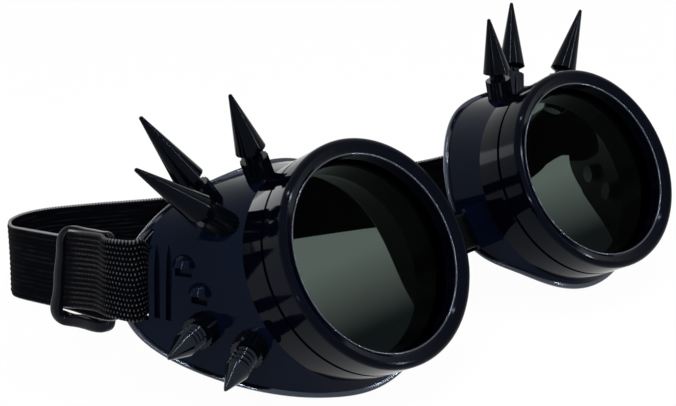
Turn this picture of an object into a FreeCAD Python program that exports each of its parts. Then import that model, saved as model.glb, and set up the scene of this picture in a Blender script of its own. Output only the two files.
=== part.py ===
"""Round-lens costume goggles with screw-on spikes, lying on a table on their cups and head strap.

Millimetres, +Z up, the lenses face -Y and look upwards, the wearer's left is +X.
The origin is at the middle of the underside of the whole object.

Each cup is drawn once in its own frame: X towards the temple, Y back along the lens axis, Z up,
with the middle of the front opening at zero. Then it is toed in, set apart, mirrored for the
right eye and tipped back to its rest on the table.
"""
import FreeCAD, Part
import math
import os

Vector = FreeCAD.Vector
ZERO = Vector(0, 0, 0)
ACROSS = Vector(1, 0, 0)
BACK = Vector(0, 1, 0)
UP = Vector(0, 0, 1)

# Pose of the two cups
cup_spacing = 85.3
toe_in_angle = 2.5
rest_tilt_angle = 31.5

# General fits and cuts
glue_gap = 0.1
free_gap = 0.35
overrun = 2.0

# Lens ring, screwed over the front of the cup
opening_diameter = 50.0
ring_diameter = 58.6
ring_front = 1.7
ring_crest_radius = 27.7
ring_round = 1.6
ring_skirt = 15.0
ring_land = 3.5
ring_bore_diameter = 54.0
ring_groove_back = 6.2
ring_groove_width = 1.0
ring_groove_depth = 0.6

# Lens and its gasket
lens_thickness = 2.0
lens_bevel = 0.3
gasket_thickness = 1.6
gasket_width = 2.2

# Eye cup
barrel_wall = 2.0
shoulder_radius = 28.7
shoulder_inner_radius = 25.5
cup_reach = 48.2
cup_depth = 48.2
cup_wall = 3.1

# Rim that follows the face: turn from straight up towards the temple, reach share, depth share
rim_shares = (
    (0, 0.706, 0.650), (22, 0.749, 0.688), (40, 0.850, 0.716), (54, 0.954, 0.736),
    (62, 1.000, 0.793), (71, 0.979, 0.925), (81, 0.917, 1.000), (93, 0.846, 0.946),
    (108, 0.774, 0.799), (124, 0.726, 0.633), (138, 0.697, 0.508), (153, 0.672, 0.425),
    (180, 0.655, 0.386), (200, 0.649, 0.370), (217, 0.649, 0.370), (233, 0.653, 0.419),
    (245, 0.659, 0.508), (258, 0.664, 0.570), (275, 0.664, 0.591), (300, 0.674, 0.589),
    (320, 0.693, 0.611), (340, 0.710, 0.641),
)

# Soft trim along the rim
trim_depth = 1.7
trim_lip = 1.2
trim_cover_share = 0.7

# Strap slots and vents in the temple side
slot_turn = 69.0
slot_tilt_angle = 34.5
slot_place_share = 0.862
strap_slot_width = 2.8
strap_slot_length = 22.5
spare_slot_width = 1.5
spare_slot_length = 20.5
first_slot_pitch = 3.8
slot_pitch = 3.1
spare_slot_count = 2
spare_slot_depth = 1.9
vent_radius = 2.9
vent_mouth_width = 4.4
vent_mouth_height = 2.6
vent_shares = ((67.7, 0.51), (79.0, 0.40))

# Nose lug on each cup and the bridge bead that it holds
lug_drop = 3.0
lug_front = 16.4
lug_back = 24.3
lug_height = 12.0
lug_reach = 36.6
lug_root = 26.5
bead_reach = 33.2
bead_radius = 2.2
bridge_height = 10.0
bridge_neck = 2.0
bridge_span = 8.0
bridge_thickness = 3.4
bead_swing_angle = 22.0
bead_clearance = 0.3

# Long spikes: cone on a thin neck above a knurled collar, held by a screw from inside
spike_radius = 3.95
spike_length = 20.5
short_spike_length = 16.0
spike_tip_radius = 0.55
spike_bevel = 0.9
neck_radius = 2.3
neck_length = 2.6
collar_radius = 3.7
collar_height = 5.6
collar_sink = 2.4
knurl_teeth = 20
knurl_depth = 0.35
screw_radius = 1.5
screw_clearance = 0.08
screw_head_radius = 2.7
screw_head_height = 1.7
screw_reach = 6.0

# Studs: short ringed bullets low on the temple side
stud_radius = 3.0
stud_cone = 7.0
stud_tip_radius = 0.6
stud_neck_radius = 2.5
stud_ring_count = 4
stud_ring_height = 1.0
stud_ring_gap = 0.5
stud_collar_radius = 4.3
stud_collar_height = 3.4

# Seats of the spikes and studs on the wall: turn and share along the wall, then the aim:
# turn from straight up and forward lean
spike_seat_shares = {
    "right": {
        "upper": (17.8, 0.285, 22.0, 27.0),
        "middle": (40.0, 0.61, 31.0, 14.0),
        "outer": (51.5, 0.25, 50.0, 11.0),
    },
    "left": {
        "upper": (-7.0, 0.36, -8.0, 27.0),
        "middle": (12.5, 0.68, 24.0, 6.0),
        "outer": (40.0, 0.47, 37.5, 15.0),
    },
}
stud_seat_shares = {"rear": (92.3, 0.53, 103.5, 15.5), "front": (108.2, 0.31, 116.5, 13.0)}

# Head strap: one elastic band, in at the right slot, round the back, in at the left slot
strap_width = 20.8
strap_thickness = 1.5
strap_lean_angle = 10.0
strap_lean_fade = 20.0
strap_half_span = 88.5
strap_back_reach = 121.0
strap_back_steps = 30
wrap_outside = 2.6
wrap_inside = 7.0
wrap_end = 7.6
wrap_round = 1.4
inside_gather_share = 0.7
wrap_drop_outside = 0.8
wrap_drop_inside = 3.0
inside_low = 2.4

# Way of the band on the table, hand-laid: shares of the half span, the reach behind the
# lenses and the band's own width above the table
strap_outer_shares = ((-0.984, 0.597, 1.236), (-0.994, 0.450, 1.394))
strap_straight_shares = ((-0.938, 0.450, 1.173), (-0.981, 0.817, 0.849))
strap_back_shares = (
    (-0.954, 0.891, 0.740), (-0.913, 0.949, 0.668), (-0.850, 0.988, 0.625), (-0.780, 0.998, 0.601),
    (-0.678, 0.976, 0.582), (-0.418, 0.869, 0.555), (0.000, 0.745, 0.541), (0.226, 0.665, 0.560),
    (0.429, 0.568, 0.618), (0.678, 0.478, 0.834), (0.836, 0.438, 1.050), (0.915, 0.423, 1.185),
)
strap_end_shares = ((0.975, 0.415, 1.276), (1.010, 0.402, 1.334), (1.019, 0.385, 1.356))
strap_tail_shares = ((0.893, 0.398, 1.264), (0.829, 0.411, 1.101), (0.746, 0.431, 0.966))

# Adjuster that slides on the doubled stretch of the strap
slider_height = 27.3
slider_length = 18.5
slider_bar = 3.4
slider_thickness = 2.2
slider_front = 3.0
slider_rail = 1.9
slider_skew_angle = -3.0
slider_bar_angle = -8.0
slider_place = 13.8


def polar(radius, turn, back):
    """Point at a radius, a turn from straight up towards the temple, and a depth."""
    angle = math.radians(turn)
    return Vector(radius * math.sin(angle), back, radius * math.cos(angle))


def tilted(turn, lean):
    """Direction at a turn from straight up that leans forward."""
    reach = math.cos(math.radians(lean))
    return polar(reach, turn, -math.sin(math.radians(lean)))


def rim_curve(inset, forward):
    """Closed curve along the face, drawn in from the rim by an inset and moved forward."""
    points = []
    params = []
    for turn, reach_share, depth_share in rim_shares:
        points.append(polar(cup_reach * reach_share - inset, turn, cup_depth * depth_share - forward))
        params.append(turn / 360)
    curve = Part.BSplineCurve()
    curve.interpolate(Points=points, PeriodicFlag=True, Parameters=params + [1.0])
    return curve


def round_curve(radius, back):
    """Closed curve round the lens axis, stepped at the same turns as the rim."""
    points = [polar(radius, row[0], back) for row in rim_shares]
    params = [row[0] / 360 for row in rim_shares]
    curve = Part.BSplineCurve()
    curve.interpolate(Points=points, PeriodicFlag=True, Parameters=params + [1.0])
    return curve


def band_between(first, second):
    """Ruled face between two closed curves."""
    return Part.makeRuledSurface(first.toShape(), second.toShape())


def closed_solid(faces):
    """Solid inside a set of faces that meet along their edges."""
    shell = Part.makeShell(faces)
    shell.sewShape()
    solid = Part.makeSolid(Part.Shell(shell.Faces))
    if solid.Volume < 0:
        solid.reverse()
    return solid


def ring_of(curves):
    """Solid ring whose section has its corners on the given closed curves."""
    faces = []
    for index, curve in enumerate(curves):
        faces.append(band_between(curve, curves[(index + 1) % len(curves)]))
    return closed_solid(faces)


def turned(profile):
    """Solid of revolution about +Z from (radius, height) corners."""
    corners = [Vector(radius, 0, height) for radius, height in profile]
    face = Part.Face(Part.makePolygon(corners + corners[:1]))
    return face.revolve(ZERO, UP, 360)


def turned_back(profile):
    """Solid of revolution about the lens axis from (radius, depth) corners."""
    corners = [Vector(radius, depth, 0) for radius, depth in profile]
    face = Part.Face(Part.makePolygon(corners + corners[:1]))
    return face.revolve(ZERO, BACK, 360)


def aimed(shape, place, direction):
    """Copy of a shape drawn along +Z, set at a place and pointed in a direction."""
    copy = shape.copy()
    copy.Placement = FreeCAD.Placement(place, FreeCAD.Rotation(UP, direction))
    return copy


def largest(shape):
    """Largest solid of a shape that a cut may have split."""
    return max(shape.Solids, key=lambda solid: solid.Volume)


ring_radius = ring_diameter / 2
opening_radius = opening_diameter / 2
bore_radius = ring_bore_diameter / 2
barrel_radius = bore_radius - free_gap
barrel_bore = barrel_radius - barrel_wall
lens_back = ring_land + glue_gap + lens_thickness
gasket_back = lens_back + glue_gap + gasket_thickness
barrel_front = gasket_back + glue_gap
shoulder_back = ring_skirt + free_gap
slot_through = cup_wall + 2 * overrun + slot_pitch
wall_front_curve = round_curve(shoulder_radius, shoulder_back)
wall_rim_curve = rim_curve(trim_lip, trim_depth)
slot_up = Vector(0, -math.sin(math.radians(slot_tilt_angle)), math.cos(math.radians(slot_tilt_angle)))


def wall_point(turn, share):
    """Point on the outer wall of the cup, a share of the way from the shoulder to the rim."""
    front = wall_front_curve.value((turn / 360) % 1.0)
    rim = wall_rim_curve.value((turn / 360) % 1.0)
    return front + (rim - front) * share


def wall_normal(turn, share):
    """Outward direction square to the outer wall of the cup."""
    turn_step = 1.0
    share_step = 0.01
    along = wall_point(turn + turn_step, share) - wall_point(turn - turn_step, share)
    outward = wall_point(turn, share + share_step) - wall_point(turn, share - share_step)
    normal = outward.cross(along)
    if normal.dot(polar(1.0, turn, 0)) < 0:
        normal = -normal
    return normal.normalize()


def panel_box(centre, normal, width, height, depth):
    """Box through the temple wall, upright on the table, centred on a point of the wall."""
    upright = (slot_up - normal * slot_up.dot(normal)).normalize()
    level = upright.cross(normal).normalize()
    box = Part.makeBox(width, height, depth, Vector(-width / 2, -height / 2, -depth / 2))
    box.Placement = FreeCAD.Placement(centre, FreeCAD.Rotation(level, upright, normal, "ZXY"))
    return box


def slot_frame():
    """Centre of the strap slot on the outer wall, with its normal, level and upright directions."""
    centre = wall_point(slot_turn, slot_place_share)
    normal = wall_normal(slot_turn, slot_place_share)
    upright = (slot_up - normal * slot_up.dot(normal)).normalize()
    level = upright.cross(normal).normalize()
    if level.x < 0:
        level = -level
    return centre, normal, level, upright


def make_lens_ring():
    """Ring with a dished face, a rounded front edge, one turned groove and a threaded skirt."""
    rounding = []
    steps = 6
    for step in range(steps + 1):
        angle = math.radians(90 * step / steps)
        radius = ring_radius - ring_round * (1 - math.sin(angle))
        rounding.append((radius, ring_round * (1 - math.cos(angle)) - ring_front))
    groove_floor = ring_radius - ring_groove_depth
    groove_end = ring_groove_back + ring_groove_width
    profile = [(opening_radius, 0), (ring_crest_radius - ring_round, -ring_front / 2)] + rounding
    profile += [(ring_radius, ring_groove_back), (groove_floor, ring_groove_back)]
    profile += [(groove_floor, groove_end), (ring_radius, groove_end), (ring_radius, ring_skirt)]
    profile += [(bore_radius, ring_skirt), (bore_radius, ring_land), (opening_radius, ring_land)]
    return turned_back(profile)


def make_lens():
    """Flat round lens with bevelled edges, seated against the land of the ring."""
    radius = barrel_radius
    front = ring_land + glue_gap
    profile = [(0, front), (radius - lens_bevel, front), (radius, front + lens_bevel)]
    profile += [(radius, lens_back - lens_bevel), (radius - lens_bevel, lens_back), (0, lens_back)]
    return turned_back(profile)


def make_gasket():
    """Flat ring between the lens and the front of the barrel."""
    inner = barrel_radius - gasket_width
    front = lens_back + glue_gap
    profile = [(inner, front), (barrel_radius, front), (barrel_radius, gasket_back), (inner, gasket_back)]
    return turned_back(profile)


def sunk_box(centre, normal, width, height):
    """Box that sinks into the temple wall by the depth of a spare slot."""
    lift = slot_through / 2 - spare_slot_depth
    return panel_box(centre + normal * lift, normal, width, height, slot_through)


def make_vent(turn, share):
    """Hood over a vent, cut off level below, and the sunk mouth under it."""
    centre = wall_point(turn, share)
    normal = wall_normal(turn, share)
    upright = (slot_up - normal * slot_up.dot(normal)).normalize()
    lower = panel_box(centre - upright * vent_radius, normal, 2 * vent_radius, 2 * vent_radius, slot_through)
    hood = Part.makeSphere(vent_radius, centre).cut(lower)
    mouth = sunk_box(centre - upright * (vent_mouth_height / 2), normal, vent_mouth_width, vent_mouth_height)
    return hood, mouth


def make_lug():
    """Nose lug with the round socket for the bridge bead, and the flared way out of the socket."""
    width = lug_reach - lug_root
    corner = Vector(-lug_reach, lug_front, -lug_drop - lug_height / 2)
    lug = Part.makeBox(width, lug_back - lug_front, lug_height, corner)
    depth = (lug_front + lug_back) / 2
    tall = lug_height + 2 * overrun
    low = -lug_drop - tall / 2
    socket = Part.makeCylinder(bead_radius + bead_clearance, tall, Vector(-bead_reach, depth, low))
    half_neck = bridge_neck / 2 + bead_clearance
    mouth = lug_reach - bead_reach + overrun
    flare = half_neck + mouth * math.tan(math.radians(bead_swing_angle))
    tip = -bead_reach - mouth
    corners = [Vector(-bead_reach, depth - half_neck, low), Vector(tip, depth - flare, low)]
    corners += [Vector(tip, depth + flare, low), Vector(-bead_reach, depth + half_neck, low)]
    slit = Part.Face(Part.makePolygon(corners + corners[:1])).extrude(Vector(0, 0, tall))
    return lug, socket.fuse(slit)


def make_eye_cup(axes):
    """Cup shell: barrel, flared wall to the rim, vents, slots, nose lug and screw holes."""
    inner_rim = rim_curve(trim_lip + cup_wall, trim_depth)
    inner_front = round_curve(shoulder_inner_radius, shoulder_back)
    shell = ring_of([wall_front_curve, wall_rim_curve, inner_rim, inner_front])
    barrel = turned_back([(barrel_bore, barrel_front), (barrel_radius, barrel_front),
                          (barrel_radius, shoulder_back), (barrel_bore, shoulder_back)])
    shell = shell.fuse(barrel)
    hollow = inner_core()
    lug, lug_cut = make_lug()
    shell = shell.fuse(lug.cut(hollow)).cut(lug_cut)
    for turn, share in vent_shares:
        hood, mouth = make_vent(turn, share)
        shell = shell.fuse(hood.cut(hollow)).cut(mouth)
    centre, normal, level, _ = slot_frame()
    shell = shell.cut(panel_box(centre, normal, strap_slot_width, strap_slot_length, slot_through))
    for count in range(spare_slot_count):
        place = centre - level * (first_slot_pitch + slot_pitch * count)
        shell = shell.cut(sunk_box(place, normal, spare_slot_width, spare_slot_length))
    for place, direction in axes:
        hole = Part.makeCylinder(screw_radius + screw_clearance, 2 * spike_length, ZERO - UP * spike_length)
        shell = shell.cut(aimed(hole, place, direction))
    return largest(shell.removeSplitter())


def inner_core():
    """Solid that fills the hollow of the cup behind the shoulder."""
    inner_rim = rim_curve(trim_lip + cup_wall, trim_depth)
    inner_front = round_curve(shoulder_inner_radius, shoulder_back)
    rear = round_curve(opening_radius, cup_depth + opening_radius)
    caps = [Part.Face(Part.Wire(curve.toShape())) for curve in (inner_front, rear)]
    return closed_solid([band_between(inner_front, inner_rim), band_between(inner_rim, rear)] + caps)


def make_face_trim():
    """Soft edging along the whole rim, proud of the wall and notched where the band passes."""
    front = trim_depth - glue_gap
    inner = trim_lip + cup_wall * trim_cover_share
    edging = ring_of([rim_curve(0, front), rim_curve(0, 0), rim_curve(inner, 0), rim_curve(inner, front)])
    centre, normal, _, _ = slot_frame()
    notch = panel_box(centre, normal, strap_slot_width, strap_slot_length, slot_through)
    return largest(edging.cut(notch))


def make_knurled(radius, height):
    """Knurled collar with a clearance hole, drawn from a little below its seat."""
    corners = []
    for index in range(2 * knurl_teeth):
        reach = radius - knurl_depth * (index % 2)
        angle = math.pi * index / knurl_teeth
        corners.append(Vector(reach * math.cos(angle), reach * math.sin(angle), -collar_sink))
    body = Part.Face(Part.makePolygon(corners + corners[:1])).extrude(UP * (height + collar_sink))
    tall = height + 2 * collar_sink
    hole = Part.makeCylinder(screw_radius + screw_clearance, tall, -UP * (2 * collar_sink))
    return body.cut(hole)


def spike_bore(height):
    """Threaded hole up from the foot of a spike or stud that stands at a height."""
    return Part.makeCylinder(screw_radius + screw_clearance, screw_reach, Vector(0, 0, height))


def make_spike(length):
    """Cone with a rounded tip on a bevelled base and a thin neck, standing on its collar."""
    base = collar_height + neck_length
    tip = base + length
    profile = [(0, collar_height), (neck_radius, collar_height)]
    profile += [(neck_radius, base - spike_bevel), (spike_radius, base)]
    steps = 4
    for step in range(steps + 1):
        angle = math.radians(90 * step / steps)
        reach = spike_tip_radius * math.cos(angle)
        profile.append((reach, tip - spike_tip_radius * (1 - math.sin(angle))))
    return turned(profile).cut(spike_bore(collar_height))


def make_stud():
    """Short bullet: rings round a neck, then a cone with a rounded tip."""
    profile = [(0, stud_collar_height)]
    height = stud_collar_height
    for _ in range(stud_ring_count):
        crest = height + stud_ring_height / 2
        profile += [(stud_neck_radius, height), (stud_radius, crest)]
        profile.append((stud_neck_radius, height + stud_ring_height))
        height += stud_ring_height + stud_ring_gap
    profile += [(stud_neck_radius, height), (stud_radius, height)]
    tip = height + stud_cone
    profile += [(stud_tip_radius, tip - stud_tip_radius), (stud_tip_radius / 2, tip), (0, tip)]
    return turned(profile).cut(spike_bore(stud_collar_height))


def make_screw(wall, place, direction, stand):
    """Screw from inside the cup, through the wall and collar, into the spike or stud."""
    reach = Part.makeCylinder(screw_head_radius, spike_length, Vector(0, 0, -spike_length))
    inside = wall.common(aimed(reach, place, direction))
    inside.Placement = FreeCAD.Placement(place, FreeCAD.Rotation(UP, direction)).inverse()
    low = inside.optimalBoundingBox().ZMin - glue_gap
    shank = Part.makeCylinder(screw_radius, stand + screw_reach - overrun - low, Vector(0, 0, low))
    head = Part.makeCylinder(screw_head_radius, screw_head_height, Vector(0, 0, low - screw_head_height))
    return aimed(shank.fuse(head).removeSplitter(), place, direction)


def seated(collar, wall, place, direction):
    """Collar set on the wall and cut to its slope."""
    return largest(aimed(collar, place, direction).cut(wall))


def make_cup_set(side):
    """All pieces of one cup in the frame of the cup, by node name."""
    spikes = spike_seat_shares[side]
    seats = {name: (wall_point(*row[:2]), tilted(*row[2:])) for name, row in spikes.items()}
    studs = {name: (wall_point(*row[:2]), tilted(*row[2:])) for name, row in stud_seat_shares.items()}
    cup = make_eye_cup(list(seats.values()) + list(studs.values()))
    pieces = {"eye_cup": cup, "face_trim": make_face_trim(), "lens": make_lens()}
    pieces.update({"lens_gasket": make_gasket(), "lens_ring": make_lens_ring()})
    collar = make_knurled(collar_radius, collar_height)
    stud_collar = make_knurled(stud_collar_radius, stud_collar_height)
    for name, seat in seats.items():
        length = short_spike_length if name == "upper" else spike_length
        pieces[name + "_spike"] = aimed(make_spike(length), *seat)
    for name, seat in studs.items():
        pieces[name + "_stud"] = aimed(make_stud(), *seat)
    pieces["spike_collars"] = Part.makeCompound([seated(collar, cup, *seat) for seat in seats.values()])
    pieces["stud_collars"] = Part.makeCompound([seated(stud_collar, cup, *seat) for seat in studs.values()])
    screws = [make_screw(cup, *seat, collar_height) for seat in seats.values()]
    screws += [make_screw(cup, *seat, stud_collar_height) for seat in studs.values()]
    pieces["spike_screws"] = Part.makeCompound(screws)
    return pieces


def stood(shape):
    """Copy of a shape of the upright pair, tipped back to its rest on the table."""
    copy = shape.copy()
    copy.rotate(ZERO, ACROSS, -rest_tilt_angle)
    return copy


def placed(shape, side):
    """Copy of a shape of one cup, toed in, set apart, mirrored for the right eye and tipped."""
    copy = shape.copy()
    copy.rotate(ZERO, UP, -toe_in_angle)
    copy.translate(Vector(cup_spacing / 2, 0, 0))
    if side == "right":
        copy = copy.mirror(ZERO, ACROSS)
    return stood(copy)


def placed_point(point, side):
    """Place of a cup point in the assembly."""
    return placed(Part.Vertex(point), side).Point


def placed_direction(direction, side):
    """Heading of a cup direction in the assembly."""
    return placed_point(direction, side) - placed_point(ZERO, side)


def make_bridge():
    """Soft link between the nose lugs: a bead at each end and a thicker middle."""
    left = Part.Vertex(Vector(-bead_reach, (lug_front + lug_back) / 2, -lug_drop))
    left.rotate(ZERO, UP, -toe_in_angle)
    half = left.Point.x + cup_spacing / 2
    depth = left.Point.y
    low = -lug_drop - bridge_height / 2
    link = Part.makeBox(2 * half, bridge_neck, bridge_height, Vector(-half, depth - bridge_neck / 2, low))
    middle = Part.makeBox(bridge_span, bridge_thickness, bridge_height,
                          Vector(-bridge_span / 2, depth - bridge_thickness / 2, low))
    link = link.fuse(middle)
    for end in (-half, half):
        link = link.fuse(Part.makeCylinder(bead_radius, bridge_height, Vector(end, depth, low)))
    bead = Part.Vertex(Vector(-half, depth, -lug_drop))
    return stood(link.removeSplitter()), stood(bead).Point


def strap_wrap(side):
    """Stations of the band from inside, where it gathers, through a slot and round the bar."""
    centre, normal, level, upright = slot_frame()
    middle = placed_point(centre, side)
    outward = placed_direction(normal, side)
    along = placed_direction(level, side)
    rise = placed_direction(upright, side)
    inside = [(wrap_end, -wrap_inside), (wrap_round, -wrap_inside), (0, wrap_round - wrap_inside)]
    outside = [(0, wrap_outside - wrap_round), (wrap_round, wrap_outside), (wrap_end, wrap_outside)]
    stations = []
    for run, stand in inside:
        fall = UP * (wrap_drop_inside * run / wrap_end) + rise * inside_low
        stations.append((middle + along * run + outward * stand - fall, rise * inside_gather_share))
    for run, stand in outside:
        fall = UP * (wrap_drop_outside * run / wrap_end)
        stations.append((middle + along * run + outward * stand - fall, rise))
    return stations


def leaning(lean):
    """Upright of the band where it leans in at the top by an angle."""
    return Vector(math.sin(math.radians(lean)), 0, math.cos(math.radians(lean)))


def strap_stations(floor):
    """Middle line and uprights of the band, from the right tail to the left tail."""
    def at(row):
        return Vector(strap_half_span * row[0], strap_back_reach * row[1], strap_width * row[2] + floor)
    start, finish = (at(row) for row in strap_straight_shares)
    ahead = (finish - start).normalize()
    lean = leaning(strap_lean_angle)
    stations = [(at(row), lean) for row in strap_outer_shares] + strap_wrap("right")[::-1] + [(start, lean)]
    back = Part.BSplineCurve()
    back.interpolate(Points=[finish] + [at(row) for row in strap_back_shares], InitialTangent=ahead,
                     FinalTangent=at(strap_back_shares[-1]) - at(strap_back_shares[-2]))
    for point in back.discretize(Number=strap_back_steps):
        fade = max(0, 1 - (point - finish).Length / strap_lean_fade)
        stations.append((point, leaning(strap_lean_angle * fade)))
    stations += [(at(row), UP) for row in strap_end_shares] + strap_wrap("left")[::-1]
    stations += [(at(row), UP) for row in strap_tail_shares]
    return stations, start, ahead


def make_strap(stations):
    """Elastic band: upright sections along the middle line, joined by flat strips."""
    sections = []
    points = [point for point, _ in stations]
    points = [points[0] * 2 - points[1]] + points + [points[-1] * 2 - points[-2]]
    for index, (point, upright) in enumerate(stations):
        before = point - points[index]
        after = points[index + 2] - point
        first = Vector(before.y, -before.x, 0).normalize()
        second = Vector(after.y, -after.x, 0).normalize()
        mitre = (first + second).normalize()
        side = mitre * (strap_thickness / 2 / mitre.dot(first))
        rise = upright * (strap_width / 2)
        corners = [point + side + rise, point + side - rise, point - side - rise, point - side + rise]
        sections.append(Part.makePolygon(corners + corners[:1]))
    return Part.makeLoft(sections, True, True)


def make_slider(start, ahead):
    """Adjuster frame: rails above and below the band, a bar outside it and two bars inside it."""
    level = Vector(ahead.y, -ahead.x, 0).normalize()
    lean = math.radians(strap_lean_angle)
    upright = level.cross(ahead)
    upright = upright if upright.z > 0 else -upright
    upright = (upright * math.cos(lean) + level * math.sin(lean)).normalize()
    outward = upright.cross(ahead)
    skew = FreeCAD.Rotation(outward, slider_skew_angle)
    upright = skew.multVec(upright)
    rails = skew.multVec(ahead)
    near = strap_thickness / 2 + free_gap
    low = -near - slider_thickness
    end = (slider_length - slider_bar) / 2

    def block(run, length, foot, height, bottom, top):
        return Part.makeBox(length, height, top - bottom, Vector(run - length / 2, foot, bottom))
    foot = -slider_height / 2
    frame = block(end, slider_bar, foot, slider_height, near, near + slider_front)
    for edge in (foot, -foot - slider_rail):
        frame = frame.fuse(block(end, slider_bar, edge, slider_rail, low, near + slider_front))
    frame.rotate(Vector(end, 0, 0), UP, slider_bar_angle)
    for run in (0, -end):
        frame = frame.fuse(block(run, slider_bar, foot, slider_height, low, -near))
    for edge in (foot, -foot - slider_rail):
        frame = frame.fuse(block(0, slider_length, edge, slider_rail, low, near))
    frame = frame.removeSplitter()
    centre = start + ahead * slider_place
    frame.Placement = FreeCAD.Placement(centre, FreeCAD.Rotation(rails, upright, outward, "ZXY"))
    return frame, centre


def main():
    """Make every node, set the whole on the table and write one file for each node."""
    nodes = {}
    for side in ("left", "right"):
        for name, shape in make_cup_set(side).items():
            nodes[side + "_" + name] = placed(shape, side)
    nodes["nose_bridge"], bead = make_bridge()
    floor = min(nodes[side + "_face_trim"].optimalBoundingBox().ZMin for side in ("left", "right"))
    stations, start, ahead = strap_stations(floor)
    nodes["strap"] = make_strap(stations)
    nodes["strap_slider"], slider_centre = make_slider(start, ahead)
    box = Part.makeCompound(list(nodes.values())).optimalBoundingBox()
    shift = Vector(-box.Center.x, -box.Center.y, -box.ZMin)
    os.makedirs("parts", exist_ok=True)
    for name, shape in nodes.items():
        shape.translate(shift)
        shape.exportStep("parts/" + name + ".step")
        print(name, shape.isValid(), len(shape.Solids), round(shape.Volume, 1))
    print("shift", shift, "floor", floor, "size", box.XLength, box.YLength, box.ZLength)
    for side in ("left", "right"):
        print(side, "opening", placed_point(ZERO, side) + shift, "axis", placed_direction(BACK, side))
        centre, normal, _, _ = slot_frame()
        print(side, "slot", placed_point(centre, side) + shift, placed_direction(normal, side))
    print("bead", bead + shift, "direction", stood(Part.Vertex(UP)).Point)
    print("slider", slider_centre + shift, "direction", ahead)


main()
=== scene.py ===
"""Looks of the spiked round-lens goggles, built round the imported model.

Metres, +Z up, the lenses face -Y and look upwards, the wearer's left is +X.
Sizes that the class fields give in millimetres are turned into metres by MM.
"""
import logging
import math
from dataclasses import dataclass, field
from enum import Enum
from typing import Dict, List, Optional, Sequence, Tuple

import bmesh
import bpy
import numpy as np
from mathutils import Matrix, Vector


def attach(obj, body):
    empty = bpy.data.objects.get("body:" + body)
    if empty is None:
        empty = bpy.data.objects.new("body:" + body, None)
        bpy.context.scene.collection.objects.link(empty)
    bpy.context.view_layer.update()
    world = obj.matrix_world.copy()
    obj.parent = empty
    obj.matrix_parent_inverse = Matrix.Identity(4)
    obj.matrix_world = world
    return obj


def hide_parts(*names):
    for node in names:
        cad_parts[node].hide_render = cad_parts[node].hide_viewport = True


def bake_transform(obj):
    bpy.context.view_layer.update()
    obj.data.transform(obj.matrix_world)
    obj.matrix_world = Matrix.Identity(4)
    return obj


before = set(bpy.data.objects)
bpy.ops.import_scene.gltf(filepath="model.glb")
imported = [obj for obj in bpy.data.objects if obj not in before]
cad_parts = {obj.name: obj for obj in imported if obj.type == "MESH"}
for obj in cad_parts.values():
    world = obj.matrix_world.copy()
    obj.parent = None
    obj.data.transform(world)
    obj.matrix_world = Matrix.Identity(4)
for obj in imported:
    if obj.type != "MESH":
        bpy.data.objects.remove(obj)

LOG = logging.getLogger("goggles")
MM = 0.001
WELD_REACH = 0.0000001
FULL_TURN = 360.0
Colour = Tuple[float, float, float]
Triple = Tuple[float, float, float]
Range = Tuple[float, float]
Stretch = Tuple[float, float, float, float]
Caps = List[List[int]]
Piece = bpy.types.Object
Material = bpy.types.Material
Socket = bpy.types.NodeSocket


class Side(Enum):
    """The wearer's side, with the sign of its X."""

    LEFT = 1
    RIGHT = -1

    @property
    def word(self) -> str:
        """Word that starts the names of this side's pieces."""
        return self.name.lower()


# Meshes


def unit(rows: np.ndarray) -> np.ndarray:
    """Rows of vectors, each divided by its own length.

    Args:
        rows: Array of shape (n, 3).

    Returns:
        Array of the same shape with rows of length one.
    """
    return rows / np.linalg.norm(rows, axis=-1, keepdims=True)


def grid_faces(rows: int, columns: int, wrap_rows: bool, wrap_columns: bool) -> np.ndarray:
    """Quads of a grid of points that is numbered row by row.

    Args:
        rows: Number of rows.
        columns: Number of points in a row.
        wrap_rows: Whether the last row joins the first.
        wrap_columns: Whether the last point of a row joins the first.

    Returns:
        Integer array of shape (faces, 4).
    """
    down = np.arange(rows if wrap_rows else rows - 1)
    along = np.arange(columns if wrap_columns else columns - 1)
    first, second = np.meshgrid(down, along, indexing="ij")
    below = (first + 1) % rows
    beside = (second + 1) % columns
    corners = ((first, second), (below, second), (below, beside), (first, beside))
    return np.stack([(row * columns + column).ravel() for row, column in corners], axis=1)


def end_caps(rows: int, columns: int, start: int = 0) -> Caps:
    """Faces that close the first and the last ring of an open tube, turned as grid_faces turns its quads.

    Args:
        rows: Number of rings.
        columns: Number of points in a ring.
        start: Number of the tube's first point.

    Returns:
        The two faces as lists of point numbers.
    """
    last = start + (rows - 1) * columns
    return [list(range(start, start + columns)), list(range(last, last + columns))[::-1]]


def flipped(faces: np.ndarray, caps: Caps) -> Tuple[np.ndarray, Caps]:
    """Quads and end faces with their corners in the other order."""
    return faces[:, ::-1], [cap[::-1] for cap in caps]


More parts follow.
